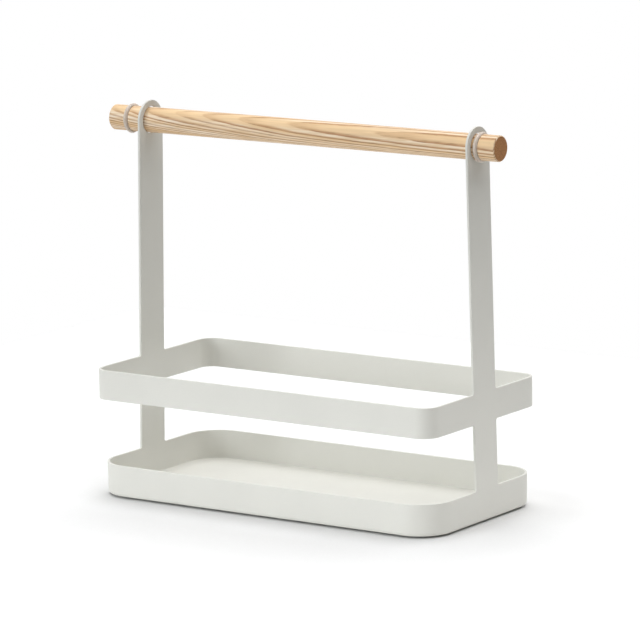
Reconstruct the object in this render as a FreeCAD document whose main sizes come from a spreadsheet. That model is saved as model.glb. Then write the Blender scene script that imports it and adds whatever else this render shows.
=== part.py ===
"""Table caddy for condiment bottles: a shallow steel tray, a steel rail above it, two steel
uprights that end in eyes, and a round wooden handle that lies loose in the eyes.

Millimetres, +Z up. The origin is the centre of the tray's floor, where the bottles stand. +X runs
along the tray to the right and +Y to the back.
"""
import FreeCAD, Part
import os
from enum import IntEnum

import Sketcher
from FreeCAD import Placement, Rotation, Vector

# Driving dimensions: alias, value and what it measures. Lengths in mm, angles in degrees.
SIZES = (
    ("sheet_gauge", 1.5, "thickness of the steel sheet"),
    ("tray_length", 236.6, "tray over its rim, along X"),
    ("tray_width", 116.0, "tray and rail over their faces, along Y"),
    ("tray_depth", 18.7, "underside of the tray to its rim"),
    ("tray_corner_inside", 19.5, "inside corner radius of the tray in plan, at the rim"),
    ("tray_bend_inside", 0.5, "inside radius between the tray's floor and its walls"),
    ("tray_draft", 1.0, "angle by which the tray's walls open upwards"),
    ("upright_width", 23.0, "width of the uprights and outside diameter of their eyes"),
    ("upright_lean", 1.1, "angle by which the uprights lean inwards"),
    ("eye_height", 213.25, "centre of the eyes above the tray's floor"),
    ("eye_clearance", 0.45, "radial clearance between an eye's hole and the handle"),
    ("seat_gap", 0.3, "gap left under the handle where it lies in the eyes"),
    ("rail_bottom", 55.6, "lower edge of the rail above the tray's floor"),
    ("rail_height", 17.5, "height of the rail's band"),
    ("rail_corner_inside", 8.5, "inside corner radius of the rail"),
    ("dowel_diameter", 15.0, "diameter of the wooden handle"),
    ("dowel_overhang", 12.5, "centre of a stop ring to the handle's end"),
    ("dowel_chamfer", 0.6, "chamfer around the handle's ends"),
    ("ring_section", 2.8, "diameter of the stop rings' round section"),
    ("ring_groove_depth", 1.5, "how far a stop ring is let into the handle"),
    ("ring_fit", 0.05, "clearance between a stop ring and its groove"),
    ("handle_play", 11.4, "how far the handle can shift between its two stops"),
    ("handle_rest_gap", 1.0, "gap between the right stop ring and the right eye at rest"),
    ("foot_diameter", 10.0, "diameter of the foot pads"),
    ("foot_height", 1.0, "height of the foot pads, which carry the tray"),
    ("foot_edge_radius", 0.3, "rounding of the foot pads' lower edge"),
    ("foot_inset", 22.0, "centre of a foot pad to the tray's outer faces"),
)

# Sizes worked out from the driving ones: alias and formula.
WORKED = (
    ("underside", "-Sizes.sheet_gauge"),
    ("sole", "underside - Sizes.foot_height"),
    ("rim_height", "underside + Sizes.tray_depth"),
    ("tray_corner", "Sizes.tray_corner_inside + Sizes.sheet_gauge"),
    ("tray_bend", "Sizes.tray_bend_inside + Sizes.sheet_gauge"),
    ("mouth_length", "Sizes.tray_length - 2 * Sizes.sheet_gauge"),
    ("mouth_width", "Sizes.tray_width - 2 * Sizes.sheet_gauge"),
    ("mouth_depth", "Sizes.tray_depth - Sizes.sheet_gauge"),
    ("foot_x", "Sizes.tray_length / 2 - Sizes.foot_inset"),
    ("foot_y", "Sizes.tray_width / 2 - Sizes.foot_inset"),
    ("foot_radius", "Sizes.foot_diameter / 2"),
    ("lean_slope", "tan(Sizes.upright_lean * 1 deg)"),
    ("lean_stretch", "1 / cos(Sizes.upright_lean * 1 deg)"),
    ("upright_x", "Sizes.tray_length / 2 - Sizes.sheet_gauge"),
    ("upright_rise", "Sizes.eye_height - rim_height"),
    ("upright_length", "upright_rise * lean_stretch"),
    ("eye_radius", "Sizes.upright_width / 2"),
    ("eye_hole_radius", "Sizes.dowel_diameter / 2 + Sizes.eye_clearance"),
    ("eye_face_x", "upright_x - upright_rise * lean_slope + Sizes.sheet_gauge * lean_stretch"),
    ("rail_rise", "Sizes.rail_bottom + Sizes.rail_height / 2 - rim_height"),
    ("rail_length", "Sizes.tray_length - 2 * rail_rise * lean_slope"),
    ("rail_corner", "Sizes.rail_corner_inside + Sizes.sheet_gauge"),
    ("rail_cut_left", "-rail_length"),
    ("rail_cut_front", "-Sizes.tray_width"),
    ("dowel_radius", "Sizes.dowel_diameter / 2"),
    ("dowel_height", "Sizes.eye_height - max(0; Sizes.eye_clearance - Sizes.seat_gap)"),
    ("ring_x", "eye_face_x + (Sizes.handle_play + Sizes.ring_section) / 2"),
    ("ring_half_section", "Sizes.ring_section / 2"),
    ("ring_radius", "dowel_radius - Sizes.ring_groove_depth + ring_half_section"),
    ("groove_floor", "dowel_radius - Sizes.ring_groove_depth - Sizes.ring_fit"),
    ("groove_start", "ring_x - ring_half_section - Sizes.ring_fit"),
    ("groove_end", "ring_x + ring_half_section + Sizes.ring_fit"),
    ("dowel_length", "2 * (ring_x + Sizes.dowel_overhang)"),
    ("handle_x", "Sizes.handle_rest_gap - Sizes.handle_play / 2"),
)

UP = Vector(0, 0, 1)
ALONG_X = Vector(1, 0, 0)
HALF_TURN = 180
SAME_DIRECTION = 1e-6
SIDES = (("right", 1), ("left", -1))
DEPTHS = (("front", -1), ("back", 1))


class Point(IntEnum):
    """Sketcher's numbers for the points of an edge."""

    START = 1
    END = 2
    CENTRE = 3


class Axis(IntEnum):
    """Sketcher's numbers for a sketch's own axes."""

    ACROSS = -1
    UPWARDS = -2


START, END, CENTRE = Point.START, Point.END, Point.CENTRE
ORIGIN = (Axis.ACROSS, Point.START)


def make_sheets(doc):
    """Write the driving sizes and the sizes worked out from them into two spreadsheets."""
    sizes = doc.addObject("Spreadsheet::Sheet", "Sizes")
    for row, (alias, value, note) in enumerate(SIZES, start=1):
        sizes.set(f"A{row}", alias)
        sizes.set(f"B{row}", str(value))
        sizes.setAlias(f"B{row}", alias)
        sizes.set(f"C{row}", note)
    doc.recompute()
    worked = doc.addObject("Spreadsheet::Sheet", "Worked")
    for row, (alias, formula) in enumerate(WORKED, start=1):
        worked.set(f"A{row}", alias)
        worked.setAlias(f"B{row}", alias)
        worked.set(f"B{row}", "=" + formula)
    doc.recompute()


def value_of(doc, cell):
    """The number in a spreadsheet's cell, which is named as Sheet.alias."""
    sheet, alias = cell.split(".")
    return float(getattr(doc.getObject(sheet), alias))


def make_body(doc, label, x="0", y="0", z="0", sign=1):
    """A body placed by formulas. A sign of -1 turns it half way round the vertical."""
    body = doc.addObject("PartDesign::Body", label)
    body.Label = label
    body.Placement = Placement(Vector(), Rotation(UP, 0 if sign > 0 else HALF_TURN))
    for axis, formula in (("x", x), ("y", y), ("z", z)):
        body.setExpression(f"Placement.Base.{axis}", formula)
    return body


def origin_feature(body, role):
    """One of a body's own origin planes or axes."""
    return next(item for item in body.Origin.OriginFeatures if item.Role == role)


def make_sketch(body, name, plane):
    """An empty sketch on one of the body's own origin planes."""
    sketch = body.newObject("Sketcher::SketchObject", name)
    sketch.AttachmentSupport = [(origin_feature(body, plane), "")]
    sketch.MapMode = "FlatFace"
    return sketch


def constrain(sketch, kind, *references):
    """Add one constraint that has no value."""
    sketch.addConstraint(Sketcher.Constraint(kind, *references))


def measure(sketch, name, cell, kind, *references):
    """Add one dimension and bind it to a spreadsheet's cell."""
    value = value_of(sketch.Document, cell)
    index = sketch.addConstraint(Sketcher.Constraint(kind, *references, value))
    sketch.renameConstraint(index, name)
    sketch.setExpression(f"Constraints.{name}", cell)


def add_lines(sketch, points):
    """Straight lines from each point to the next and back to the first, joined end to end."""
    after = points[1:] + points[:1]
    lines = [sketch.addGeometry(Part.LineSegment(*pair)) for pair in zip(points, after)]
    for line, following in zip(lines, lines[1:] + lines[:1]):
        constrain(sketch, "Coincident", line, END, following, START)
    return lines


def add_circle(sketch, name, radius, centre=ORIGIN):
    """A circle of a bound radius about a point of the sketch."""
    circle = sketch.addGeometry(Part.Circle(Vector(), UP, value_of(sketch.Document, radius)))
    constrain(sketch, "Coincident", circle, CENTRE, *centre)
    measure(sketch, name, radius, "Radius", circle)


def add_rectangle(sketch, left, right, bottom, top):
    """A rectangle whose four sides lie at bound places."""
    cells = (left, right, bottom, top)
    west, east, south, north = [value_of(sketch.Document, cell) for cell in cells]
    corners = [Vector(west, south, 0), Vector(east, south, 0),
               Vector(east, north, 0), Vector(west, north, 0)]
    low, far, high, near = add_lines(sketch, corners)
    for kind, sides in (("Horizontal", (low, high)), ("Vertical", (far, near))):
        for side in sides:
            constrain(sketch, kind, side)
    measure(sketch, "left", left, "DistanceX", *ORIGIN, near, START)
    measure(sketch, "right", right, "DistanceX", *ORIGIN, far, START)
    measure(sketch, "bottom", bottom, "DistanceY", *ORIGIN, low, START)
    measure(sketch, "top", top, "DistanceY", *ORIGIN, high, START)


def add_rounded_rectangle(sketch, length, width, radius):
    """A rectangle with round corners about the sketch's origin."""
    size = value_of(sketch.Document, radius)
    x = value_of(sketch.Document, length) / 2 - size
    y = value_of(sketch.Document, width) / 2 - size
    centres = (Vector(x, -y, 0), Vector(x, y, 0), Vector(-x, y, 0), Vector(-x, -y, 0))
    quarter = Part.Circle().LastParameter / len(centres)
    arcs = []
    for number, centre in enumerate(centres):
        turn = (number - 1) * quarter
        arc = Part.ArcOfCircle(Part.Circle(centre, UP, size), turn, turn + quarter)
        arcs.append(sketch.addGeometry(arc))
    sides = []
    for arc, following in zip(arcs, arcs[1:] + arcs[:1]):
        line = Part.LineSegment(sketch.getPoint(arc, END), sketch.getPoint(following, START))
        side = sketch.addGeometry(line)
        constrain(sketch, "Tangent", arc, END, side, START)
        constrain(sketch, "Tangent", side, END, following, START)
        sides.append(side)
    right, back, left, front = sides[0], sides[1], sides[2], sides[3]
    constrain(sketch, "Vertical", left)
    constrain(sketch, "Horizontal", back)
    constrain(sketch, "Symmetric", right, START, right, END, Axis.ACROSS)
    constrain(sketch, "Symmetric", front, START, front, END, Axis.UPWARDS)
    for arc in arcs[1:]:
        constrain(sketch, "Equal", arcs[0], arc)
    measure(sketch, "length", length, "DistanceX", left, START, right, START)
    measure(sketch, "width", width, "DistanceY", front, START, back, START)
    measure(sketch, "radius", radius, "Radius", arcs[0])


def make_pad(body, name, sketch, length):
    """Extrude a sketch by a bound length along its normal."""
    pad = body.newObject("PartDesign::Pad", name)
    pad.Profile = sketch
    pad.setExpression("Length", length)
    return pad


def make_fillet(body, name, solid, edges, radius):
    """Round the named edges of a feature to a bound radius."""
    fillet = body.newObject("PartDesign::Fillet", name)
    fillet.Base = (solid, edges)
    fillet.setExpression("Radius", radius)
    return fillet


def flat_face(feature, normal, pick=max):
    """Name of the outermost flat face that looks along a direction, or of the innermost one."""
    found = []
    for number, face in enumerate(feature.Shape.Faces, start=1):
        flat = isinstance(face.Surface, Part.Plane)
        if flat and face.normalAt(0, 0).isEqual(normal, SAME_DIRECTION):
            found.append((face.CenterOfMass.dot(normal), number))
    return f"Face{pick(found)[1]}"


def rim_of(feature, normal, pick=max):
    """Names of the edges around the face that flat_face finds."""
    face = feature.Shape.getElement(flat_face(feature, normal, pick))
    return [f"Edge{number}" for number, edge in enumerate(feature.Shape.Edges, start=1)
            if any(edge.isSame(border) for border in face.Edges)]


def require_less(before, after):
    """A cut that points away from the solid removes nothing and says nothing, so test it."""
    if after.Shape.Volume >= before.Shape.Volume:
        raise RuntimeError(f"{after.Label} removed no material")


def make_base_tray(doc):
    """Shallow drawn tray: floor and walls of one gauge, round corners, round lower edge."""
    body = make_body(doc, "base_tray", z="Worked.underside")
    outline = make_sketch(body, "tray_outline", "XY_Plane")
    outline.setExpression("AttachmentOffset.Base.z", "Sizes.tray_depth")
    add_rounded_rectangle(outline, "Sizes.tray_length", "Sizes.tray_width", "Worked.tray_corner")
    block = make_pad(body, "tray_block", outline, "Sizes.tray_depth")
    block.Reversed = True
    block.setExpression("TaperAngle", "-Sizes.tray_draft")
    doc.recompute()
    bend = make_fillet(body, "tray_lower_bend", block, rim_of(block, -UP), "Worked.tray_bend")
    mouth = make_sketch(body, "tray_mouth", "XY_Plane")
    mouth.setExpression("AttachmentOffset.Base.z", "Sizes.tray_depth")
    add_rounded_rectangle(mouth, "Worked.mouth_length", "Worked.mouth_width",
                          "Sizes.tray_corner_inside")
    hollow = body.newObject("PartDesign::Pocket", "tray_hollow")
    hollow.Profile = mouth
    hollow.setExpression("Length", "Worked.mouth_depth")
    hollow.setExpression("TaperAngle", "-Sizes.tray_draft")
    doc.recompute()
    floor_edge = rim_of(hollow, UP, pick=min)
    make_fillet(body, "tray_floor_cove", hollow, floor_edge, "Sizes.tray_bend_inside")
    doc.recompute()
    require_less(block, bend)
    require_less(bend, hollow)
    return body


def make_upright(doc, side, sign):
    """Flat strap that stands on the tray's rim, leans inwards and ends in a round eye."""
    body = make_body(doc, f"upright_{side}", f"{sign} * Worked.upright_x",
                     z="Worked.rim_height", sign=sign)
    outline = make_sketch(body, f"upright_outline_{side}", "YZ_Plane")
    lean = Rotation(-ALONG_X, value_of(doc, "Sizes.upright_lean"))
    outline.AttachmentOffset = Placement(Vector(), lean)
    outline.setExpression("AttachmentOffset.Rotation.Angle", "Sizes.upright_lean")
    reach = Vector(value_of(doc, "Worked.eye_radius"), 0, 0)
    eye = Vector(0, value_of(doc, "Worked.upright_length"), 0)
    round_end = Part.ArcOfCircle(Part.Circle(eye, UP, reach.x), 0, Part.Circle().LastParameter / 2)
    foot = outline.addGeometry(Part.LineSegment(-reach, reach))
    back = outline.addGeometry(Part.LineSegment(reach, reach + eye))
    top = outline.addGeometry(round_end)
    front = outline.addGeometry(Part.LineSegment(eye - reach, -reach))
    constrain(outline, "Coincident", foot, END, back, START)
    constrain(outline, "Tangent", back, END, top, START)
    constrain(outline, "Tangent", top, END, front, START)
    constrain(outline, "Coincident", front, END, foot, START)
    constrain(outline, "Symmetric", foot, START, foot, END, *ORIGIN)
    constrain(outline, "PointOnObject", foot, START, Axis.ACROSS)
    constrain(outline, "Vertical", back)
    constrain(outline, "Vertical", front)
    measure(outline, "width", "Sizes.upright_width", "DistanceX", foot, START, foot, END)
    measure(outline, "length", "Worked.upright_length", "DistanceY", foot, END, top, CENTRE)
    add_circle(outline, "eye_hole", "Worked.eye_hole_radius", (top, CENTRE))
    make_pad(body, f"upright_strap_{side}", outline, "Sizes.sheet_gauge")
    return body


def make_rail_half(doc, place, sign):
    """Band bent around two corners, its ends butted to the edges of the uprights."""
    body = make_body(doc, f"rail_{place}", z="Sizes.rail_bottom", sign=sign)
    outline = make_sketch(body, f"rail_outline_{place}", "XY_Plane")
    add_rounded_rectangle(outline, "Worked.rail_length", "Sizes.tray_width", "Worked.rail_corner")
    block = make_pad(body, f"rail_block_{place}", outline, "Sizes.rail_height")
    doc.recompute()
    band = body.newObject("PartDesign::Thickness", f"rail_band_{place}")
    band.Base = (block, [flat_face(block, UP), flat_face(block, -UP)])
    band.Join = "Intersection"
    band.Reversed = True
    band.setExpression("Value", "Sizes.sheet_gauge")
    doc.recompute()
    other_half = make_sketch(body, f"rail_other_half_{place}", "XY_Plane")
    add_rectangle(other_half, "Worked.rail_cut_left", "Worked.rail_length",
                  "Worked.rail_cut_front", "Worked.eye_radius")
    bow = body.newObject("PartDesign::Pocket", f"rail_bow_{place}")
    bow.Profile = other_half
    bow.Type = "ThroughAll"
    bow.Reversed = True
    doc.recompute()
    require_less(block, band)
    require_less(band, bow)
    return body


def make_handle_dowel(doc):
    """Round wooden handle, chamfered at both ends, with a groove for each stop ring."""
    body = make_body(doc, "handle_dowel", "Worked.handle_x", z="Worked.dowel_height")
    section = make_sketch(body, "dowel_section", "YZ_Plane")
    add_circle(section, "dowel", "Worked.dowel_radius")
    rod = make_pad(body, "dowel_rod", section, "Worked.dowel_length")
    rod.SideType = "Symmetric"
    doc.recompute()
    ends = body.newObject("PartDesign::Chamfer", "dowel_ends")
    ends.Base = (rod, rim_of(rod, ALONG_X) + rim_of(rod, -ALONG_X))
    ends.setExpression("Size", "Sizes.dowel_chamfer")
    profile = make_sketch(body, "groove_profile", "XZ_Plane")
    add_rectangle(profile, "Worked.groove_start", "Worked.groove_end",
                  "Worked.groove_floor", "Sizes.dowel_diameter")
    doc.recompute()
    groove = body.newObject("PartDesign::Groove", "ring_groove_right")
    groove.Profile = profile
    groove.ReferenceAxis = (origin_feature(body, "X_Axis"), [""])
    doc.recompute()
    both = body.newObject("PartDesign::Mirrored", "ring_grooves")
    both.Originals = [groove]
    both.MirrorPlane = (origin_feature(body, "YZ_Plane"), [""])
    body.Tip = both
    doc.recompute()
    for before, after in ((rod, ends), (ends, groove), (groove, both)):
        require_less(before, after)
    return body


def make_stop_ring(doc, side, sign):
    """Silicone ring in the handle's groove, which keeps the handle from sliding out."""
    body = make_body(doc, f"stop_ring_{side}", f"Worked.handle_x + {sign} * Worked.ring_x",
                     z="Worked.dowel_height")
    section = make_sketch(body, f"ring_section_{side}", "XZ_Plane")
    centre = Vector(0, value_of(doc, "Worked.ring_radius"), 0)
    size = value_of(doc, "Worked.ring_half_section")
    circle = section.addGeometry(Part.Circle(centre, UP, size))
    constrain(section, "PointOnObject", circle, CENTRE, Axis.UPWARDS)
    measure(section, "height", "Worked.ring_radius", "DistanceY", *ORIGIN, circle, CENTRE)
    measure(section, "section", "Worked.ring_half_section", "Radius", circle)
    ring = body.newObject("PartDesign::Revolution", f"ring_{side}")
    ring.Profile = section
    ring.ReferenceAxis = (origin_feature(body, "X_Axis"), [""])
    return body


def make_foot_pad(doc, place, depth_sign, side, side_sign):
    """Round pad under a corner of the tray."""
    name = f"foot_pad_{place}_{side}"
    body = make_body(doc, name, f"{side_sign} * Worked.foot_x",
                     f"{depth_sign} * Worked.foot_y", "Worked.sole")
    outline = make_sketch(body, f"{name}_outline", "XY_Plane")
    add_circle(outline, "pad", "Worked.foot_radius")
    disc = make_pad(body, f"{name}_disc", outline, "Sizes.foot_height")
    doc.recompute()
    make_fillet(body, f"{name}_edge", disc, rim_of(disc, -UP), "Sizes.foot_edge_radius")
    return body


def require_sound(doc, bodies):
    """Stop if any object failed, or any piece isn't one valid solid."""
    for item in doc.Objects:
        if {"Invalid", "Error"} & set(item.State):
            raise RuntimeError(f"{item.Label} is {item.State}")
    for body in bodies:
        if body.Shape.isNull() or not body.Shape.isValid() or len(body.Shape.Solids) != 1:
            raise RuntimeError(f"{body.Label} is not one valid solid")


def main():
    """Build the document, test it and write one STEP file for each piece."""
    doc = FreeCAD.newDocument("condiment_caddy")
    make_sheets(doc)
    bodies = [make_base_tray(doc), make_handle_dowel(doc)]
    for side, sign in SIDES:
        bodies.append(make_upright(doc, side, sign))
        bodies.append(make_stop_ring(doc, side, sign))
    for place, depth_sign in DEPTHS:
        bodies.append(make_rail_half(doc, place, depth_sign))
        for side, side_sign in SIDES:
            bodies.append(make_foot_pad(doc, place, depth_sign, side, side_sign))
    doc.recompute()
    require_sound(doc, bodies)
    os.makedirs("parts", exist_ok=True)
    for body in bodies:
        body.Shape.exportStep(f"parts/{body.Label}.step")


main()
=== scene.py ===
"""Looks of a condiment caddy: one coated steel frame, an ash handle, silicone rings and pads.

Metres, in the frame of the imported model: the origin is the centre of the tray's floor, +X runs
along the tray to the right and +Y to the back.
"""
import math

import bmesh
import bpy
from bpy.props import FloatProperty, FloatVectorProperty, PointerProperty
from mathutils import Matrix, Vector


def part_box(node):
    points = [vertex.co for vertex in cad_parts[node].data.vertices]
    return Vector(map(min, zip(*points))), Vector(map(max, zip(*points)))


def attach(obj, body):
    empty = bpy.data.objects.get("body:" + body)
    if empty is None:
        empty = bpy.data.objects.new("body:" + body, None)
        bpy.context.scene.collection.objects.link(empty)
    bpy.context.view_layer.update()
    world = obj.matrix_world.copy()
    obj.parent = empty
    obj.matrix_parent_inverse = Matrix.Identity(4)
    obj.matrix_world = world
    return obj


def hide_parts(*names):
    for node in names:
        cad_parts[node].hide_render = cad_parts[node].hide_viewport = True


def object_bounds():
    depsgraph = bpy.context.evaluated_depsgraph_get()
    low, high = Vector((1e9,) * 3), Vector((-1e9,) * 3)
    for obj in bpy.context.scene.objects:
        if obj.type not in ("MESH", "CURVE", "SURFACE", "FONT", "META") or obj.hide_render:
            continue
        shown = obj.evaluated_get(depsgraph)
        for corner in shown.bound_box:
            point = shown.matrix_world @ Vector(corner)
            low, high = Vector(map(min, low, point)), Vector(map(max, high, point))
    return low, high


bl_info = {
    "name": "Condiment Caddy Finish",
    "version": (1, 0, 0),
    "blender": (4, 5, 0),
    "location": "View3D > Sidebar > Caddy",
    "description": "Builds the coated steel, the wooden handle and the rings of a condiment caddy",
    "category": "Object",
}

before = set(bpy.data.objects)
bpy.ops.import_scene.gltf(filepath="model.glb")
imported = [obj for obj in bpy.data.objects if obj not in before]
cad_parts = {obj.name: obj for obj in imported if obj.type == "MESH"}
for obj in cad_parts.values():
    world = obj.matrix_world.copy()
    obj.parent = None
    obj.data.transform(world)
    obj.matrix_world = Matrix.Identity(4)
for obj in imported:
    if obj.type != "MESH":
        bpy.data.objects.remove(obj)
CAD_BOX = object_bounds()
MM = 0.001

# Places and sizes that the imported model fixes.
TRAY_LOW, TRAY_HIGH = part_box("base_tray")
STRAP_LOW, STRAP_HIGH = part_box("upright_right")
RAIL_LOW, RAIL_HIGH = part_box("rail_front")
HANDLE_LOW, HANDLE_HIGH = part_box("handle_dowel")
RING_BOXES = {side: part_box(f"stop_ring_{side}") for side in ("left", "right")}
RING_MIDDLES = {side: (low + high) / 2 for side, (low, high) in RING_BOXES.items()}
RING_HALF = (RING_BOXES["right"][1].x - RING_BOXES["right"][0].x) / 2
GAUGE = -TRAY_LOW.z
RIM_X = TRAY_HIGH.x - GAUGE / 2
RIM_Y = TRAY_HIGH.y - GAUGE / 2
RIM_Z = TRAY_HIGH.z
STRAP_HALF = STRAP_HIGH.y
LEAN = math.atan2(STRAP_HIGH.x - GAUGE - STRAP_LOW.x, STRAP_HIGH.z - RIM_Z)
EYE_ALONG = (STRAP_HIGH.z - RIM_Z - GAUGE * math.sin(LEAN)) / math.cos(LEAN) - STRAP_HALF
RAIL_BOTTOM = (RAIL_LOW.z - RIM_Z) / math.cos(LEAN)
RAIL_TOP = (RAIL_HIGH.z - RIM_Z) / math.cos(LEAN)
RAIL_MIDDLE = (RAIL_BOTTOM + RAIL_TOP) / 2
RAIL_X = RIM_X - RAIL_MIDDLE * math.sin(LEAN)
HANDLE_MIDDLE = (HANDLE_LOW + HANDLE_HIGH) / 2
HANDLE_RADIUS = (HANDLE_HIGH.z - HANDLE_LOW.z) / 2

ROUNDED_EDGE_STEPS = 3

STEEL_NODES = ("base_tray", "upright_right", "upright_left", "rail_front", "rail_back")
SIDES = {"right": 1, "left": -1}
PLACES = {"front": -1, "back": 1}


class CaddySteelSettings(bpy.types.PropertyGroup):
    """Sizes and finish of the coated steel."""

    tray_corner: FloatProperty(
        name="Tray Corner", description="Outside radius of the tray's corners in plan",
        default=21 * MM, subtype="DISTANCE", unit="LENGTH")
    tray_bend: FloatProperty(
        name="Tray Bend", description="Outside radius between the tray's floor and its walls",
        default=2 * MM, subtype="DISTANCE", unit="LENGTH")
    tray_draft: FloatProperty(
        name="Tray Draft", description="Angle by which the tray's walls open upwards",
        default=math.radians(1), subtype="ANGLE", unit="ROTATION")
    rail_corner: FloatProperty(
        name="Rail Corner", description="Outside radius of the rail's corners in plan",
        default=10 * MM, subtype="DISTANCE", unit="LENGTH")
    eye_hole: FloatProperty(
        name="Eye Hole", description="Radius of the holes that the handle lies in",
        default=7.95 * MM, subtype="DISTANCE", unit="LENGTH")
    edge_rounding: FloatProperty(
        name="Edge Rounding", description="Rounding of the sheet's cut edges under the coat",
        default=0.25 * MM, subtype="DISTANCE", unit="LENGTH")
    weld_fillet: FloatProperty(
        name="Weld Fillet", description="Radius of the dressed welds in the inner corners",
        default=1.2 * MM, subtype="DISTANCE", unit="LENGTH")
    coat_colour: FloatVectorProperty(
        name="Coat Colour", description="Colour of the powder coat",
        default=(0.757, 0.752, 0.702), size=3, min=0, max=1, subtype="COLOR")
    coat_roughness: FloatProperty(
        name="Coat Roughness", description="Roughness of the powder coat",
        default=0.52, min=0, max=1, subtype="FACTOR")


class CaddyHandleSettings(bpy.types.PropertyGroup):
    """Sizes and finish of the wooden handle, its rings and the pads."""

    chamfer: FloatProperty(
        name="Chamfer", description="Chamfer around the handle's ends",
        default=0.6 * MM, subtype="DISTANCE", unit="LENGTH")
    groove_depth: FloatProperty(
        name="Groove Depth", description="Depth of the grooves that the rings sit in",
        default=1.55 * MM, subtype="DISTANCE", unit="LENGTH")
    groove_margin: FloatProperty(
        name="Groove Margin", description="Space between a ring and the wall of its groove",
        default=0.05 * MM, subtype="DISTANCE", unit="LENGTH")
    softening: FloatProperty(
        name="Softening", description="Rounding that sanding leaves on the handle's edges",
        default=0.15 * MM, subtype="DISTANCE", unit="LENGTH")
    growth: FloatProperty(
        name="Growth", description="Distance between the wood's growth lines",
        default=1.3 * MM, subtype="DISTANCE", unit="LENGTH")
    pale_wood: FloatVectorProperty(
        name="Pale Wood", description="Colour of the wood between the growth lines",
        default=(0.98, 0.83, 0.65), size=3, min=0, max=1, subtype="COLOR")
    golden_wood: FloatVectorProperty(
        name="Golden Wood", description="Colour of the broad golden bands",
        default=(0.90, 0.65, 0.385), size=3, min=0, max=1, subtype="COLOR")
    line_wood: FloatVectorProperty(
        name="Growth Lines", description="Colour of the porous lines",
        default=(0.55, 0.29, 0.135), size=3, min=0, max=1, subtype="COLOR")
    end_wood: FloatVectorProperty(
        name="End Grain", description="Colour of the wood at the handle's ends",
        default=(0.53, 0.26, 0.115), size=3, min=0, max=1, subtype="COLOR")
    ring_colour: FloatVectorProperty(
        name="Ring Colour", description="Colour of the silicone rings",
        default=(0.66, 0.57, 0.49), size=3, min=0, max=1, subtype="COLOR")
    flash_height: FloatProperty(
        name="Mould Line", description="Height of the mould's parting line on the rings",
        default=0.02 * MM, subtype="DISTANCE", unit="LENGTH")
    pad_colour: FloatVectorProperty(
        name="Pad Colour", description="Colour of the silicone pads under the tray",
        default=(0.42, 0.41, 0.39), size=3, min=0, max=1, subtype="COLOR")


class CaddyStageSettings(bpy.types.PropertyGroup):
    """Camera, lamps and floor."""

    azimuth: FloatProperty(
        name="Azimuth", description="Direction of the camera round the caddy, 0 is the front",
        default=math.radians(34.39), subtype="ANGLE", unit="ROTATION")
    elevation: FloatProperty(
        name="Elevation", description="Height of the camera above the horizon",
        default=math.radians(10.68), subtype="ANGLE", unit="ROTATION")
    roll: FloatProperty(
        name="Roll", description="Turn of the camera about its own axis",
        default=math.radians(-0.94), subtype="ANGLE", unit="ROTATION")
    distance: FloatProperty(
        name="Distance", description="Camera to the point that it looks at",
        default=2.7483, subtype="DISTANCE", unit="LENGTH")
    target: FloatVectorProperty(
        name="Target", description="Point that the camera looks at",
        default=(0.004873, 0, 0.10407), size=3, subtype="XYZ", unit="LENGTH")
    lens: FloatProperty(
        name="Lens", description="Focal length in millimetres on a 36 mm sensor",
        default=267.23, unit="CAMERA")
    sky: FloatProperty(
        name="Sky", description="Strength of the even light from all round",
        default=0.045, min=0)
    top_lamp: FloatProperty(
        name="Top Lamp", description="Strength of the wide soft light from above",
        default=2.98, min=0)
    top_way: FloatVectorProperty(
        name="Top Lamp Way", description="Direction in which the top lamp hangs",
        default=(0.1, 0.18, 0.98), size=3, subtype="DIRECTION")
    top_width: FloatProperty(
        name="Top Lamp Width", description="Angle across the top lamp, seen from the caddy",
        default=math.radians(85), subtype="ANGLE", unit="ROTATION")
    front_lamp: FloatProperty(
        name="Front Lamp", description="Strength of the low soft light from the front left",
        default=1.52, min=0)
    front_way: FloatVectorProperty(
        name="Front Lamp Way", description="Direction in which the front lamp hangs",
        default=(-0.42, -0.8, 0.3), size=3, subtype="DIRECTION")
    front_width: FloatProperty(
        name="Front Lamp Width", description="Angle across the front lamp, seen from the caddy",
        default=math.radians(38), subtype="ANGLE", unit="ROTATION")
    front_tint: FloatVectorProperty(
        name="Front Lamp Tint", description="Slightly cool colour of the front lamp",
        default=(0.955, 0.985, 1.0), size=3, min=0, max=1, subtype="COLOR")
    side_lamp: FloatProperty(
        name="Side Lamp", description="Power of the low panel on the right",
        default=0.18, min=0, unit="POWER")
    side_tint: FloatVectorProperty(
        name="Side Lamp Tint", description="Slightly warm colour of the low panel",
        default=(1.0, 0.94, 0.82), size=3, min=0, max=1, subtype="COLOR")
    floor_colour: FloatVectorProperty(
        name="Floor Colour", description="Colour of the floor",
        default=(0.92, 0.92, 0.92), size=3, min=0, max=1, subtype="COLOR")
    floor_white: FloatVectorProperty(
        name="Floor White", description="Colour that the camera sees the floor in",
        default=(0.985, 0.985, 0.985), size=3, min=0, max=1, subtype="COLOR")
    # The four shade settings tune a shade that is painted into the floor's colour that the camera
    # sees.
    shade_reach: FloatProperty(
        name="Shade Reach", description="Distance from which the caddy shades the floor",
        default=0.15, subtype="DISTANCE", unit="LENGTH")
    shade_way: FloatVectorProperty(
        name="Shade Way", description="Direction in which the floor looks for the caddy",
        default=(-0.55, 0.8, 0.3), size=3, subtype="DIRECTION")
    shade_spread: FloatProperty(
        name="Shade Spread", description="Power that spreads the shade, below 1 is wider",
        default=0.85, min=0.1)
    shade_depth: FloatProperty(
        name="Shade Depth", description="Darkness of the shade",
        default=0.53, min=0, max=1, subtype="FACTOR")
    floor_reach: FloatProperty(
        name="Floor Reach", description="Half the width of the floor",
        default=0.45, subtype="DISTANCE", unit="LENGTH")


# ---------------------------------------------------------------------------------------------
# Shader nodes that the finishes share.


# The sockets that a Mix node has for colours.
MIX_FACTOR, MIX_FIRST, MIX_SECOND, MIX_RESULT = 0, 6, 7, 2

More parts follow.
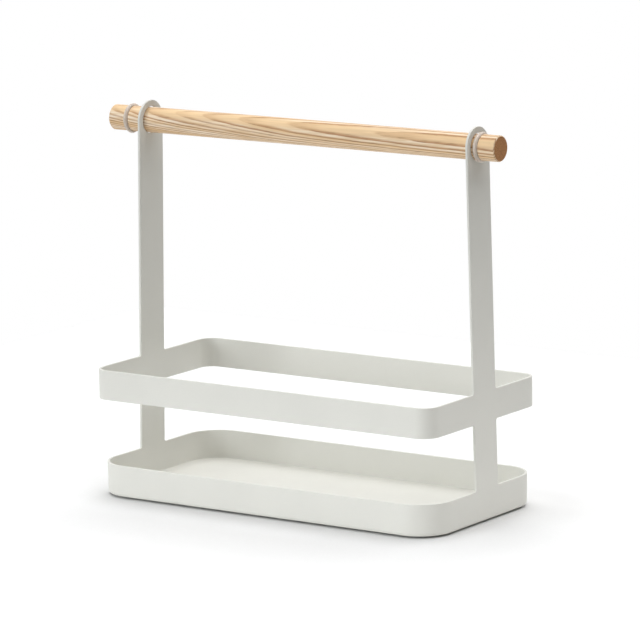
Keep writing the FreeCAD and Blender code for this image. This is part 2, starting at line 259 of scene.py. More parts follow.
# The range that holds most of a noise's values.
MOST_NOISE = (0.3, 0.7)


class Nodes:
    """Short calls for adding nodes to a tree."""

    def __init__(self, tree):
        self.tree = tree

    def add(self, kind, settings=None, **inputs):
        """Add a node. An input is a value, or the output that feeds it."""
        node = self.tree.nodes.new(kind)
        for name, value in (settings or {}).items():
            setattr(node, name, value)
        for name, value in inputs.items():
            self.feed(node.inputs[name.replace("_", " ")], value)
        return node

    def feed(self, socket, value):
        """Link an output to a socket, or set the socket's own value."""
        if isinstance(value, bpy.types.NodeSocket):
            self.tree.links.new(value, socket)
        else:
            socket.default_value = value

    def maths(self, operation, *values):
        """The result of a Math node."""
        node = self.add("ShaderNodeMath", {"operation": operation})
        for socket, value in zip(node.inputs, values):
            self.feed(socket, value)
        return node.outputs["Value"]


class Finish(Nodes):
    """A material's tree, with its surface and the coordinates of its object."""

    def __init__(self, name):
        self.material = bpy.data.materials.new(name)
        self.material.use_nodes = True
        super().__init__(self.material.node_tree)
        self.surface = self.tree.nodes["Principled BSDF"]
        self.place = self.add("ShaderNodeTexCoord").outputs["Object"]

    def feed_all(self, inputs):
        """Feed several sockets of the surface by name."""
        for name, value in inputs.items():
            self.feed(self.surface.inputs[name], value)

    def stretched(self, scale):
        """Object coordinates scaled by so many units to the metre along each axis."""
        node = self.add("ShaderNodeVectorMath", {"operation": "MULTIPLY"})
        self.feed(node.inputs[0], self.place)
        self.feed(node.inputs[1], scale)
        return node.outputs["Vector"]

    def noise(self, scale, detail=2.0):
        """Noise between about 0 and 1 whose grains measure one over the scale."""
        node = self.add("ShaderNodeTexNoise", Vector=self.stretched(scale), Scale=1.0,
                        Detail=detail)
        return node.outputs["Fac"]

    def ranged(self, value, low, high, new_low=0.0, new_high=1.0):
        """A value moved smoothly from one range into another."""
        node = self.add("ShaderNodeMapRange", {"interpolation_type": "SMOOTHSTEP"},
                        Value=value, From_Min=low, From_Max=high, To_Min=new_low, To_Max=new_high)
        return node.outputs["Result"]

    def mixed(self, factor, first, second):
        """Two colours mixed by a factor."""
        node = self.add("ShaderNodeMix", {"data_type": "RGBA"})
        self.feed(node.inputs[MIX_FACTOR], factor)
        self.feed(node.inputs[MIX_FIRST], first)
        self.feed(node.inputs[MIX_SECOND], second)
        return node.outputs[MIX_RESULT]

    def bump(self, height, depth, below=None):
        """A bump of a real depth in metres, on top of another one."""
        node = self.add("ShaderNodeBump", Height=height, Distance=depth)
        if below:
            self.feed(node.inputs["Normal"], below)
        return node.outputs["Normal"]


def opaque(colour, shade=1.0):
    """A colour with its alpha, and made darker or lighter."""
    return (*(channel * shade for channel in colour), 1.0)


def even(size):
    """A texture scale with grains of one size in metres."""
    return (1 / size, 1 / size, 1 / size)


def lengthwise(length, width):
    """A texture scale with grains that run along the handle, sizes in metres."""
    return (1 / length, 1 / width, 1 / width)


# ---------------------------------------------------------------------------------------------
# Coated steel.


# How much the coat's colour and roughness change from place to place, how far its grain shows,
# and how deep its orange peel and its specks are.
COAT_CLOUDS = 0.015
COAT_UNEVENNESS = 0.04
COAT_GRAIN = 0.35
ORANGE_PEEL_DEPTH = 0.012 * MM
SPECK_DEPTH = 0.004 * MM


def powder_coat(steel):
    """Satin powder coat: soft orange peel, a fine grain and a faint cloudiness."""
    coat = Finish("powder_coat")
    clouds = coat.noise(even(35 * MM), detail=3)
    specks = coat.noise(even(0.3 * MM), detail=1)
    tone = coat.mixed(coat.ranged(clouds, *MOST_NOISE),
                      opaque(steel.coat_colour, 1 - COAT_CLOUDS),
                      opaque(steel.coat_colour, 1 + COAT_CLOUDS))
    grain = coat.mixed(coat.ranged(specks, 0.35, 0.65), opaque(steel.coat_colour, 0.95), tone)
    glossiest = steel.coat_roughness - COAT_UNEVENNESS
    dullest = steel.coat_roughness + COAT_UNEVENNESS
    orange_peel = coat.bump(coat.noise(even(1.8 * MM), detail=1), ORANGE_PEEL_DEPTH)
    coat.feed_all({
        "Base Color": coat.mixed(COAT_GRAIN, tone, grain),
        "Roughness": coat.ranged(coat.noise(even(2.5 * MM)), *MOST_NOISE, glossiest, dullest),
        "Normal": coat.bump(specks, SPECK_DEPTH, below=orange_peel),
    })
    return coat.material


# Points of two patches that are nearer to each other than this are one.
TOUCHING = 0.002 * MM


class SheetSurface:
    """The middle surface of the steel sheet, in patches that each belong to one node."""

    def __init__(self):
        self.shape = bmesh.new()

    def patch(self, rows, node):
        """Fill a grid of points with quads."""
        grid = [[self.shape.verts.new(point) for point in row] for row in rows]
        for row, following in zip(grid, grid[1:]):
            for corners in zip(row, row[1:], following[1:], following):
                self.shape.faces.new(corners).material_index = STEEL_NODES.index(node)

    def sheet(self, points, node):
        """Fill a flat loop of points with one face."""
        loop = [self.shape.verts.new(point) for point in points]
        self.shape.faces.new(loop).material_index = STEEL_NODES.index(node)

    def to_object(self, name):
        """Join the patches where they meet and make an object of them."""
        bmesh.ops.remove_doubles(self.shape, verts=self.shape.verts, dist=TOUCHING)
        bmesh.ops.recalc_face_normals(self.shape, faces=self.shape.faces)
        mesh = bpy.data.meshes.new(name)
        for _ in STEEL_NODES:
            mesh.materials.append(None)
        self.shape.to_mesh(mesh)
        self.shape.free()
        mesh.shade_smooth()
        return link_object(name, mesh)


def link_object(name, data):
    """A new object in the scene."""
    made = bpy.data.objects.new(name, data)
    bpy.context.scene.collection.objects.link(made)
    return made


def spread(start, end, steps):
    """Evenly spaced values from start to end, both included."""
    return [start + (end - start) * step / steps for step in range(steps + 1)]


# How finely the sheet's surface is divided: half a weld, an eighth of an eye, up a rail, round a
# corner, round the bend at the tray's floor and along a straight side.
WELD_STEPS = 4
EYE_STEPS = 12
RAIL_STEPS = 4
CORNER_STEPS = 18
BEND_STEPS = 9
STRAIGHT_STEPS = 6

# Height of the strip of faces under the tray's rim.
TRAY_EDGE_BAND = 3 * MM


def weld_arc(steel):
    """Hollow quarter arc of a weld, from one edge to the other, measured from their corner."""
    radius = steel.weld_fillet
    return [Vector((1 + math.cos(turn), 1 + math.sin(turn))) * radius
            for turn in spread(1.5 * math.pi, math.pi, 2 * WELD_STEPS)]


def strap_point(side, across, along):
    """A point on an upright's middle surface, given across it and up from the rim."""
    return Vector((side * (RIM_X - along * math.sin(LEAN)), across, RIM_Z + along * math.cos(LEAN)))


def strap_row(side, half, along):
    """Points across an upright, closer together towards its middle."""
    eighth = math.pi / 4
    return [strap_point(side, half * math.tan(turn), along)
            for turn in spread(-eighth, eighth, 2 * EYE_STEPS)]


def tray_profile(steel):
    """How far out of the rim's line, and how high, the wall, the bend and the floor run."""
    radius = steel.tray_bend - GAUGE / 2
    floor = -GAUGE / 2
    lean = steel.tray_draft
    centre_z = floor + radius
    centre_x = -(RIM_Z - centre_z) * math.tan(lean) - radius / math.cos(lean)
    profile = [(-TRAY_EDGE_BAND * math.tan(lean), RIM_Z - TRAY_EDGE_BAND)]
    for turn in spread(-lean, -math.pi / 2, BEND_STEPS):
        profile.append((centre_x + radius * math.cos(turn), centre_z + radius * math.sin(turn)))
    profile.append((centre_x - 2 * radius, floor))
    return profile


def tray_corner(centre, radius, start):
    """Rim points round a corner, without its ends, and the way out from each."""
    ways = [Vector((math.cos(turn), math.sin(turn), 0))
            for turn in spread(start, start + math.pi / 2, CORNER_STEPS)[1:-1]]
    return [(centre + way * radius, way) for way in ways]


def tray_stations(steel):
    """Points of the rim, and the way out from each, anticlockwise from the right wall."""
    radius = steel.tray_corner - GAUGE / 2
    reach = Vector((RIM_X - radius, RIM_Y - radius, RIM_Z))
    weld = [(STRAP_HALF + spot.x, spot.y) for spot in weld_arc(steel)[:WELD_STEPS + 1]]
    half, raised = weld[-1]
    wall = [strap_point(1, -reach.y, 0), *(strap_point(1, -y, up) for y, up in weld[:-1]),
            *strap_row(1, half, raised), *(strap_point(1, y, up) for y, up in weld[-2::-1]),
            strap_point(1, reach.y, 0)]
    stations = [(point, Vector((1, 0, 0))) for point in wall]
    stations += tray_corner(reach, radius, 0)
    stations += [(Vector((x, RIM_Y, RIM_Z)), Vector((0, 1, 0)))
                 for x in spread(reach.x, -reach.x, STRAIGHT_STEPS)]
    stations += tray_corner(Vector((-reach.x, reach.y, RIM_Z)), radius, math.pi / 2)
    half_turn = Matrix.Rotation(math.pi, 3, "Z")
    return stations + [(half_turn @ point, half_turn @ way) for point, way in stations]


def lay_tray(surface, steel):
    """The tray's wall, bend and floor."""
    stations = tray_stations(steel)
    rows = [[point for point, way in stations]]
    for out, height in tray_profile(steel):
        rows.append([Vector((point.x, point.y, height)) + way * out for point, way in stations])
    surface.patch([row + row[:1] for row in rows], "base_tray")
    surface.sheet(rows[-1], "base_tray")


def lay_upright(surface, steel, name, side):
    """A strap from the welds at its foot, past those at the rail, to its eye."""
    node = f"upright_{name}"
    flare = [(STRAP_HALF + spot.x, spot.y) for spot in weld_arc(steel)[WELD_STEPS:]]
    half, raised = flare[0]
    rows = [(width, up) for width, up in flare]
    rows += [(width, RAIL_BOTTOM - up) for width, up in reversed(flare)]
    rows += [(half, along) for along in
             spread(RAIL_BOTTOM - raised, RAIL_TOP + raised, RAIL_STEPS)[1:]]
    rows += [(width, RAIL_TOP + up) for width, up in flare[1:]]
    rows.append((STRAP_HALF, EYE_ALONG - STRAP_HALF))
    surface.patch([strap_row(side, width, along) for width, along in rows], node)
    lay_eye(surface, steel, node, side)


def lay_eye(surface, steel, node, side):
    """The flat ring round an upright's hole, out to the strap's sides and round end."""
    count = 8 * EYE_STEPS
    rows = [[], [], []]
    for number in range(count + 1):
        turn = 2 * math.pi * number / count
        way = Vector((math.cos(turn), math.sin(turn)))
        # The patch is round above the hole and square below it, where the strap goes on.
        reach = 1.0 if way.y > 0 else 1 / max(abs(way.x), abs(way.y))
        for row, share in zip(rows, spread(0, 1, 2)):
            spot = way * (steel.eye_hole * (1 - share) + STRAP_HALF * reach * share)
            row.append(strap_point(side, spot.x, EYE_ALONG + spot.y))
    surface.patch(rows, node)


def rail_stations(steel):
    """Plan points of a quarter of the rail from the upright, with the weld's extra height."""
    radius = steel.rail_corner - GAUGE / 2
    reach = Vector((RAIL_X - radius, RIM_Y - radius))
    stations = [(RAIL_X, STRAP_HALF + spot.x, spot.y)
                for spot in reversed(weld_arc(steel)[:WELD_STEPS + 1])]
    start = stations[-1][1]
    stations += [(RAIL_X, y, 0.0) for y in spread(start, reach.y, STRAIGHT_STEPS)[1:]]
    for turn in spread(0, math.pi / 2, CORNER_STEPS)[1:]:
        stations.append((reach.x + radius * math.cos(turn), reach.y + radius * math.sin(turn), 0.0))
    return stations + [(x, RIM_Y, 0.0) for x in spread(reach.x, 0, STRAIGHT_STEPS)[1:]]


def lay_rail(surface, steel, name, place):
    """The half of the rail at one long side. It leans like the uprights where it meets them."""
    stations = rail_stations(steel)
    corner = RIM_Y - steel.rail_corner
    for side in SIDES.values():
        columns = []
        for x, y, extra in stations:
            share = min(1.0, max(0.0, (corner - y) / (corner - STRAP_HALF)))
            eased = share * share * (3 - 2 * share)
            lean_here = eased * math.sin(LEAN)
            columns.append([(side * (x - (along - RAIL_MIDDLE) * lean_here), place * y,
                             RIM_Z + along * math.cos(LEAN)) for along in
                            spread(RAIL_BOTTOM - extra, RAIL_TOP + extra, RAIL_STEPS)])
        surface.patch(columns, f"rail_{name}")


# A turn sharper than this, from face to face, is a cut edge of the sheet.
CUT_EDGE = math.radians(60)


def thicken(middle, steel):
    """Give the middle surface the sheet's gauge and round its cut edges. Returns the mesh."""
    solid = middle.modifiers.new("gauge", "SOLIDIFY")
    solid.thickness = GAUGE
    solid.offset = 0
    solid.use_even_offset = True
    solid.use_quality_normals = True
    rounding = middle.modifiers.new("edges", "BEVEL")
    rounding.width = steel.edge_rounding
    rounding.segments = ROUNDED_EDGE_STEPS
    rounding.limit_method = "ANGLE"
    rounding.angle_limit = CUT_EDGE
    weighted = middle.modifiers.new("shading", "WEIGHTED_NORMAL")
    weighted.keep_sharp = True
    graph = bpy.context.evaluated_depsgraph_get()
    whole = bpy.data.meshes.new_from_object(middle.evaluated_get(graph),
                                            preserve_all_data_layers=True, depsgraph=graph)
    bpy.data.objects.remove(middle)
    return whole


def cut_out(whole, number, name):
    """One node's share of the coated steel, closed at the seams, with the whole's shading."""
    shape = bmesh.new()
    shape.from_mesh(whole)
    others = [face for face in shape.faces if face.material_index != number]
    bmesh.ops.delete(shape, geom=others, context="FACES")
    seams = [edge for edge in shape.edges if edge.is_boundary]
    caps = bmesh.ops.holes_fill(shape, edges=seams, sides=0)["faces"]
    for edge in seams:
        edge.smooth = False
    for face in shape.faces:
        face.material_index = 0
    for face in caps:
        face.smooth = False
    mesh = bpy.data.meshes.new(name)
    shape.to_mesh(mesh)
    shape.free()
    kept = mesh.attributes["shading"]
    normals = [item.vector.copy() for item in kept.data]
    mesh.attributes.remove(kept)
    mesh.normals_split_custom_set(normals)
    return mesh


class CADDY_OT_steel(bpy.types.Operator):
    """Build the coated steel frame and cut it into its tray, uprights and rails"""

    bl_idname = "caddy.steel"
    bl_label = "Coated Steel"

    def execute(self, context):
        steel = context.scene.caddy_steel
        surface = SheetSurface()
        lay_tray(surface, steel)
        for name, side in SIDES.items():
            lay_upright(surface, steel, name, side)
        for name, place in PLACES.items():
            lay_rail(surface, steel, name, place)
        whole = thicken(surface.to_object("steel_sheet"), steel)
        shading = whole.attributes.new("shading", "FLOAT_VECTOR", "CORNER")
        for item, normal in zip(shading.data, whole.corner_normals):
            item.vector = normal.vector
        coat = powder_coat(steel)
        for number, node in enumerate(STEEL_NODES):
            mesh = cut_out(whole, number, f"coated_{node}")
            mesh.materials.clear()
            mesh.materials.append(coat)
            piece = link_object(f"coated_{node}", mesh)
            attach(piece, "caddy_frame")
            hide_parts(node)
        bpy.data.meshes.remove(whole)
        return {"FINISHED"}


# ---------------------------------------------------------------------------------------------
# Handle and rings.

TURN_STEPS = 128
RING_STEPS = 48

# Radius of the flat face in the middle of each end of the handle.
END_DISC = HANDLE_RADIUS / 2

# Half the width of a ring's mould line, as a share of the radius of the ring's section.
FLASH_WIDTH = 0.12

# Sanding softens the handle where it turns more sharply than this.
SANDED_EDGE = math.radians(30)


def turned(name, profile, middle, closed=False):
    """A mesh turned about the handle's axis from points along it and out from it.

    A closed profile makes a ring. An open one gets a flat face at each end.
    """
    shape = bmesh.new()
    rows = []
    for turn in spread(0, 2 * math.pi, TURN_STEPS)[:-1]:
        way = Vector((0, math.sin(turn), math.cos(turn)))
        rows.append([shape.verts.new(middle + Vector((along, 0, 0)) + way * out)
                     for along, out in profile])
    if closed:
        rows = [row + row[:1] for row in rows]
    else:
        for end in (0, -1):
            shape.faces.new([row[end] for row in rows])
    for row, following in zip(rows, rows[1:] + rows[:1]):
        for corners in zip(row, row[1:], following[1:], following):
            shape.faces.new(corners)
    bmesh.ops.recalc_face_normals(shape, faces=shape.faces)
    mesh = bpy.data.meshes.new(name)
    shape.to_mesh(mesh)
    shape.free()
    mesh.shade_smooth()
    return link_object(name, mesh)


# The tree's heart seen from the handle's middle, in millimetres: how far back and how high it
# lies, and how much each of them grows per millimetre along the handle.
HEART_BACK, HEART_BACK_SLOPE = 21.2, 0.04
HEART_UP, HEART_UP_SLOPE = -19.75, 0.043

# Left of BOW_START the stem bows: a point's distance from the heart changes by BOW times the
# square of how far left it is.
BOW_START = 60
BOW = -0.00026

# How far the growth rings stray, in millimetres, over long and over short stretches.
WANDER = 1.5
RIPPLE = 0.4


def growth_rings(wood, handle, facing):
    """How many growth rings lie inside a point, and how flat they lie in its surface."""
    places = wood.add("ShaderNodeSeparateXYZ", Vector=wood.stretched(even(MM)))
    along, across, up = (places.outputs[axis] for axis in "XYZ")
    heart_y = wood.maths("MULTIPLY_ADD", along, HEART_BACK_SLOPE, HEART_BACK)
    heart_z = wood.maths("MULTIPLY_ADD", along, HEART_UP_SLOPE, HANDLE_MIDDLE.z / MM + HEART_UP)
    side = wood.maths("SUBTRACT", across, heart_y)
    rise = wood.maths("SUBTRACT", up, heart_z)
    straight = wood.maths("SQRT", wood.maths("MULTIPLY_ADD", side, side,
                                             wood.maths("MULTIPLY", rise, rise)))
    flat = wood.maths("MULTIPLY_ADD", side, facing.outputs["Y"],
                      wood.maths("MULTIPLY", rise, facing.outputs["Z"]))
    flat = wood.maths("ABSOLUTE", wood.maths("DIVIDE", flat, straight))
    bowed = wood.maths("MINIMUM", wood.maths("SUBTRACT", along, BOW_START), 0.0)
    radius = wood.maths("MULTIPLY_ADD", wood.maths("MULTIPLY", bowed, bowed), BOW, straight)
    wander = wood.noise(lengthwise(90 * MM, 30 * MM), detail=1)
    ripple = wood.noise(lengthwise(20 * MM, 4 * MM))
    radius = wood.maths("MULTIPLY_ADD", wander, WANDER, radius)
    radius = wood.maths("MULTIPLY_ADD", ripple, RIPPLE, radius)
    return wood.maths("DIVIDE", radius, handle.growth / MM), flat


def over_years(wood, years, span, offset=0.0):
    """Noise that changes only from one growth ring to another."""
    node = wood.add("ShaderNodeTexNoise", {"noise_dimensions": "1D"}, Scale=1.0, Detail=1.0,
                    W=wood.maths("MULTIPLY_ADD", years, 1 / span, offset))
    return node.outputs["Fac"]


# Places in a year, from 0 to 1: where there is no early wood yet and where it is full, and then
# where there is none any more and where it was still full.
EARLY_START = (0.0, 0.12)
EARLY_END = (0.7, 0.2)

# How far a growth line can shift, in years, which makes some years broad and some narrow.
YEAR_SHIFT = 0.8


def early_wood(wood, rings, flat):
    """The uneven years, and how much of a year's porous early wood shows at a point."""
    years = wood.maths("MULTIPLY_ADD", over_years(wood, rings, 3.0), YEAR_SHIFT, rings)
    year = wood.maths("FRACT", years)
    early = wood.maths("MULTIPLY", wood.ranged(year, *EARLY_START), wood.ranged(year, *EARLY_END))
    # Some years are fainter, and so is a line that lies nearly flat in the surface.
    strength = wood.ranged(over_years(wood, years, 1.6, 20.0), 0.3, 0.65, 0.6, 1.0)
    clear = wood.ranged(flat, 0.995, 0.95, 0.35, 1.0)
    return years, wood.maths("MULTIPLY", early, wood.maths("MULTIPLY", strength, clear))


def side_grain(wood, handle, years, early, flat, pores):
    """Colour along the handle: pale and golden bands, fibres, growth lines and pores."""
    # The bands follow the years, and are a little more golden where the rings lie flat.
    flatness = wood.maths("MULTIPLY", wood.ranged(flat, 0.92, 1.0), 0.15)
    bands = wood.maths("MULTIPLY_ADD", over_years(wood, years, 2.2, 7.0), 0.7, flatness)
    fibres = wood.noise(lengthwise(25 * MM, 1.1 * MM), detail=3)
    tone = wood.mixed(wood.ranged(bands, 0.27, 0.5), opaque(handle.pale_wood),
                      opaque(handle.golden_wood))
    tone = wood.mixed(wood.ranged(fibres, 0.6, 0.4, 0.0, 0.7), tone,
                      opaque(handle.golden_wood, 0.9))
    tone = wood.mixed(wood.maths("MULTIPLY", early, 0.95), tone, opaque(handle.line_wood))
    return wood.mixed(wood.maths("MULTIPLY", pores, 0.55), tone, opaque(handle.line_wood, 0.65))


def end_grain(wood, handle, early):
    """Colour across the handle's ends: dark, with the ends of the pores."""
    dots = wood.noise(even(0.3 * MM), detail=1)
    tone = wood.mixed(wood.ranged(dots, 0.42, 0.68), opaque(handle.end_wood, 1.15),
                      opaque(handle.end_wood, 0.62))
    return wood.mixed(wood.maths("MULTIPLY", early, 0.4), tone, opaque(handle.end_wood, 0.7))


def ash_wood(handle):
    """Oiled ash: bowed growth lines, open pores, golden bands and darker end grain."""
    wood = Finish("oiled_ash")
    facing = wood.add("ShaderNodeSeparateXYZ",
                      Vector=wood.add("ShaderNodeTexCoord").outputs["Normal"])
    rings, flat = growth_rings(wood, handle, facing)
    years, early = early_wood(wood, rings, flat)
    streaks = wood.noise(lengthwise(9 * MM, 0.3 * MM))
    pores = wood.maths("MULTIPLY", wood.ranged(streaks, 0.5, 0.62), wood.ranged(early, 0.1, 0.6))
    cut_across = wood.ranged(wood.maths("ABSOLUTE", facing.outputs["X"]), 0.78, 0.93)
    grain = wood.bump(wood.maths("SUBTRACT", 1.0, pores), 0.06 * MM)
    hairs = wood.noise(lengthwise(3 * MM, 0.12 * MM), detail=1)
    wood.feed_all({
        "Base Color": wood.mixed(cut_across, side_grain(wood, handle, years, early, flat, pores),
                                 end_grain(wood, handle, early)),
        "Roughness": wood.ranged(wood.maths("ADD", streaks, cut_across), 0.3, 1.7, 0.55, 0.9),
        "Specular IOR Level": 0.2,
        "Normal": wood.bump(hairs, 0.01 * MM, below=grain),
    })
    return wood.material


# How much the silicone's colour changes from place to place, and how much light goes into it.
GUM_CLOUDS = 0.07
GUM_SCATTER = 0.6


def silicone(name, colour):
    """Cloudy silicone: light scatters in it, and its surface is soft and a little uneven."""
    gum = Finish(name)
    clouds = gum.noise(even(1.5 * MM))
    gum.feed_all({
        "Base Color": gum.mixed(gum.ranged(clouds, *MOST_NOISE), opaque(colour, 1 - GUM_CLOUDS),
                                opaque(colour, 1 + GUM_CLOUDS)),
        "Roughness": gum.ranged(gum.noise(even(0.6 * MM)), *MOST_NOISE, 0.38, 0.5),
        "Subsurface Weight": GUM_SCATTER,
        "Subsurface Radius": (1.0, 0.8, 0.7),
        "Subsurface Scale": 1.5 * MM,
        "Normal": gum.bump(gum.noise(even(0.5 * MM)), 0.01 * MM),
    })
    return gum.material


def groove_points(handle, place):
    """The groove's four corners at a ring, from left to right."""
    half = RING_HALF + handle.groove_margin
    floor = HANDLE_RADIUS - handle.groove_depth
    return [(place - half, HANDLE_RADIUS), (place - half, floor),
            (place + half, floor), (place + half, HANDLE_RADIUS)]


class CADDY_OT_handle(bpy.types.Operator):
    """Turn the wooden handle with its chamfers and grooves"""

    bl_idname = "caddy.handle"
    bl_label = "Wooden Handle"

    def execute(self, context):
        handle = context.scene.caddy_handle
        half = (HANDLE_HIGH.x - HANDLE_LOW.x) / 2
        inset = handle.chamfer
        profile = [(-half, END_DISC), (-half, HANDLE_RADIUS - inset),
                   (-half + inset, HANDLE_RADIUS)]
        for side in ("left", "right"):
            profile += groove_points(handle, RING_MIDDLES[side].x - HANDLE_MIDDLE.x)
        profile += [(half - inset, HANDLE_RADIUS), (half, HANDLE_RADIUS - inset),
                    (half, END_DISC)]
        piece = turned("ash_handle", profile, HANDLE_MIDDLE)
        softened = piece.modifiers.new("softened", "BEVEL")
        softened.width = handle.softening
        softened.segments = ROUNDED_EDGE_STEPS
        softened.limit_method = "ANGLE"
        softened.angle_limit = SANDED_EDGE
        softened.harden_normals = True
        piece.data.materials.append(ash_wood(handle))
        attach(piece, "handle")
        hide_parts("handle_dowel")
        return {"FINISHED"}


class CADDY_OT_rings(bpy.types.Operator):
    """Mould the two stop rings, with the fine line that the mould leaves"""

    bl_idname = "caddy.rings"
    bl_label = "Stop Rings"

    def execute(self, context):
        handle = context.scene.caddy_handle
        gum = silicone("ring_silicone", handle.ring_colour)
        centre = HANDLE_RADIUS - handle.groove_depth + handle.groove_margin + RING_HALF
        profile = []
        for turn in spread(0, 2 * math.pi, RING_STEPS)[:-1]:
            flash = handle.flash_height * math.exp(-(math.cos(turn) / FLASH_WIDTH) ** 2)
            size = RING_HALF - handle.flash_height + flash
            profile.append((size * math.cos(turn), centre + size * math.sin(turn)))
        for side, middle in RING_MIDDLES.items():
            piece = turned(f"silicone_ring_{side}", profile, middle, closed=True)
            piece.data.materials.append(gum)
            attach(piece, "handle_stops")
            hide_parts(f"stop_ring_{side}")
        return {"FINISHED"}


class CADDY_OT_pads(bpy.types.Operator):
    """Finish the four pads under the tray"""

    bl_idname = "caddy.pads"
    bl_label = "Foot Pads"

    def execute(self, context):
        gum = silicone("pad_silicone", context.scene.caddy_handle.pad_colour)
        for name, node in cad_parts.items():
            if name.startswith("foot_pad"):
                node.data.materials.clear()
                node.data.materials.append(gum)
        return {"FINISHED"}


# ---------------------------------------------------------------------------------------------
# Stage.


# Width of the camera's sensor in millimetres, and the farthest that it sees in metres.
SENSOR_WIDTH = 36
FARTHEST_SEEN = 100


def place_camera(stage):
    """Put the camera on its direction and distance from the point that it looks at."""
    azimuth, elevation = stage.azimuth, stage.elevation
    back = Vector((math.sin(azimuth) * math.cos(elevation),
                   -math.cos(azimuth) * math.cos(elevation), math.sin(elevation)))
    level = Vector((math.cos(azimuth), math.sin(azimuth), 0))
    upright = back.cross(level)
    cosine, sine = math.cos(stage.roll), math.sin(stage.roll)
    right = level * cosine + upright * sine
    up = upright * cosine - level * sine
    camera = link_object("camera", bpy.data.cameras.new("camera"))
    camera.data.lens = stage.lens
    camera.data.sensor_width = SENSOR_WIDTH
    camera.data.clip_end = FARTHEST_SEEN
    turn = Matrix((right, up, back)).transposed().to_4x4()
    camera.matrix_world = Matrix.Translation(Vector(stage.target) + back * stage.distance) @ turn
    bpy.context.scene.camera = camera


WHITE = (1, 1, 1)
BLACK = (0, 0, 0)


def seen_directly(nodes):
    """1 where the camera, a reflection or a clear body looks this way, else 0."""
    path = nodes.add("ShaderNodeLightPath")
    glimpse = nodes.maths("MAXIMUM", path.outputs["Is Glossy Ray"],
                          path.outputs["Is Transmission Ray"])
    return nodes.maths("MAXIMUM", path.outputs["Is Camera Ray"], glimpse)


def painted_floor_shade(floor, stage):
    """Painted shade for the floor's colour, from ambient occlusion towards the back left, where the
    caddy would hide the light that comes from there.
    """
    back = floor.add("ShaderNodeVectorMath", {"operation": "NORMALIZE"})
    floor.feed(back.inputs[0], stage.shade_way)
    around = floor.add("ShaderNodeAmbientOcclusion", Distance=stage.shade_reach,
                       Normal=back.outputs["Vector"])
    hidden = floor.maths("SUBTRACT", 1.0, around.outputs["AO"])
    widened = floor.maths("POWER", hidden, stage.shade_spread)
    return floor.maths("MULTIPLY", widened, stage.shade_depth)


def lay_floor(stage):
    """A pale floor under the pads. The camera sees it whiter, with a soft shade painted into that
    colour round the caddy.
    """
    shape = bmesh.new()
    bmesh.ops.create_grid(shape, x_segments=1, y_segments=1, size=stage.floor_reach,
                          matrix=Matrix.Translation((0, 0, CAD_BOX[0].z)))
    mesh = bpy.data.meshes.new("floor")
    shape.to_mesh(mesh)
    shape.free()
    floor = link_object("floor", mesh)
    pale = Finish("pale_floor")
    # The colour that the camera sees is the floor white, darkened by the painted shade.
    seen = pale.mixed(painted_floor_shade(pale, stage), opaque(stage.floor_white), opaque(BLACK))
    pale.feed_all({
        "Base Color": pale.mixed(seen_directly(pale), opaque(stage.floor_colour), seen),
        "Roughness": 1.0,
        "Specular IOR Level": 0.0,
    })
    floor.data.materials.append(pale.material)


def light_sky(stage):
    """Even light from all round, which the camera and reflections see as white."""
    world = bpy.data.worlds.new("studio")
    world.use_nodes = True
    sky = Nodes(world.node_tree)
    strength = sky.add("ShaderNodeMapRange", Value=seen_directly(sky), To_Min=stage.sky)
    backdrop = sky.tree.nodes["Background"]
    sky.feed(backdrop.inputs["Strength"], strength.outputs["Result"])
    sky.feed(backdrop.inputs["Color"], opaque(WHITE))
    bpy.context.scene.world = world


# The middle of the low panel of light, and its width and height.
PANEL_PLACE = (0.8, 0, 0.12)
PANEL_SIZE = (0.4, 0.07)


def hang_lamp(name, way, strength, width, colour):
    """A wide soft lamp far away, in the direction that is given."""
    lamp = bpy.data.lights.new(name, "SUN")
    lamp.energy = strength
    lamp.angle = width
    lamp.color = colour
    made = link_object(name, lamp)
    made.rotation_euler = Vector(way).to_track_quat("Z", "Y").to_euler()


def stand_panel(power, colour):
    """A low upright panel of light on the right, which faces the caddy."""
    lamp = bpy.data.lights.new("side_panel", "AREA")
    lamp.shape = "RECTANGLE"
    lamp.size, lamp.size_y = PANEL_SIZE
    lamp.energy = power
    lamp.color = colour
    made = link_object("side_panel", lamp)
    made.location = PANEL_PLACE
    made.rotation_euler = Vector((1, 0, 0)).to_track_quat("Z", "Y").to_euler()


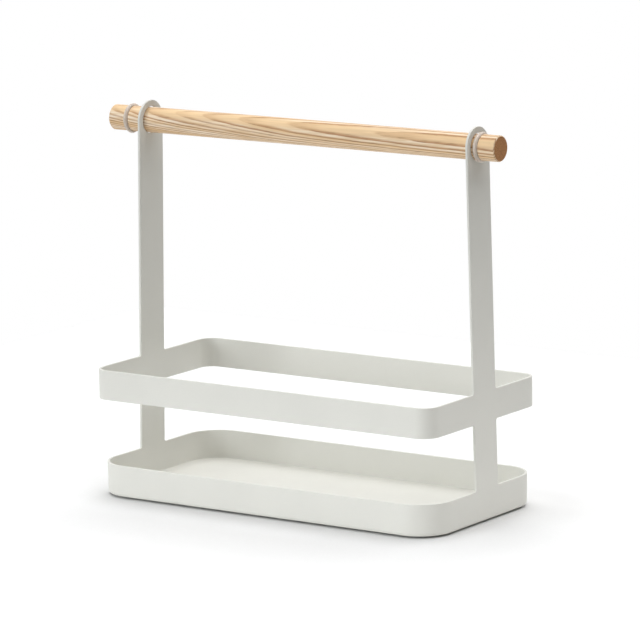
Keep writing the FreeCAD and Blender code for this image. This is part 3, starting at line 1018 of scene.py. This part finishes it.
class CADDY_OT_stage(bpy.types.Operator):
    """Set up the camera, the pale floor, the lamps and the sky"""

    bl_idname = "caddy.stage"
    bl_label = "Stage"

    def execute(self, context):
        stage = context.scene.caddy_stage
        place_camera(stage)
        lay_floor(stage)
        light_sky(stage)
        hang_lamp("top_lamp", stage.top_way, stage.top_lamp, stage.top_width, WHITE)
        hang_lamp("front_lamp", stage.front_way, stage.front_lamp, stage.front_width,
                  stage.front_tint)
        stand_panel(stage.side_lamp, stage.side_tint)
        context.scene.view_settings.view_transform = "Standard"
        return {"FINISHED"}


# ---------------------------------------------------------------------------------------------
# Panel, registration and the run.


class CADDY_PT_sidebar(bpy.types.Panel):
    """Lists the caddy's sizes, colours and pieces"""

    bl_idname = "CADDY_PT_sidebar"
    bl_label = "Condiment Caddy"
    bl_space_type = "VIEW_3D"
    bl_region_type = "UI"
    bl_category = "Caddy"

    def draw(self, context):
        for group, title in SETTINGS.items():
            box = self.layout.box()
            box.label(text=title)
            settings = getattr(context.scene, group)
            for name in settings.__annotations__:
                box.prop(settings, name)
        for operator in OPERATORS:
            self.layout.operator(operator.bl_idname)


SETTINGS = {"caddy_steel": "Steel", "caddy_handle": "Handle", "caddy_stage": "Stage"}
GROUPS = (CaddySteelSettings, CaddyHandleSettings, CaddyStageSettings)
OPERATORS = (CADDY_OT_stage, CADDY_OT_steel, CADDY_OT_handle, CADDY_OT_rings, CADDY_OT_pads)


def register():
    """Register the classes and hang the settings on the scene."""
    for made in (*GROUPS, *OPERATORS, CADDY_PT_sidebar):
        bpy.utils.register_class(made)
    for name, group in zip(SETTINGS, GROUPS):
        setattr(bpy.types.Scene, name, PointerProperty(type=group))


def unregister():
    """Take the settings and the classes away again."""
    for name in SETTINGS:
        delattr(bpy.types.Scene, name)
    for made in reversed((*GROUPS, *OPERATORS, CADDY_PT_sidebar)):
        bpy.utils.unregister_class(made)


def main():
    """Build every piece and the stage."""
    register()
    bpy.ops.caddy.stage()
    bpy.ops.caddy.steel()
    bpy.ops.caddy.handle()
    bpy.ops.caddy.rings()
    bpy.ops.caddy.pads()


if __name__ == "__main__":
    main()
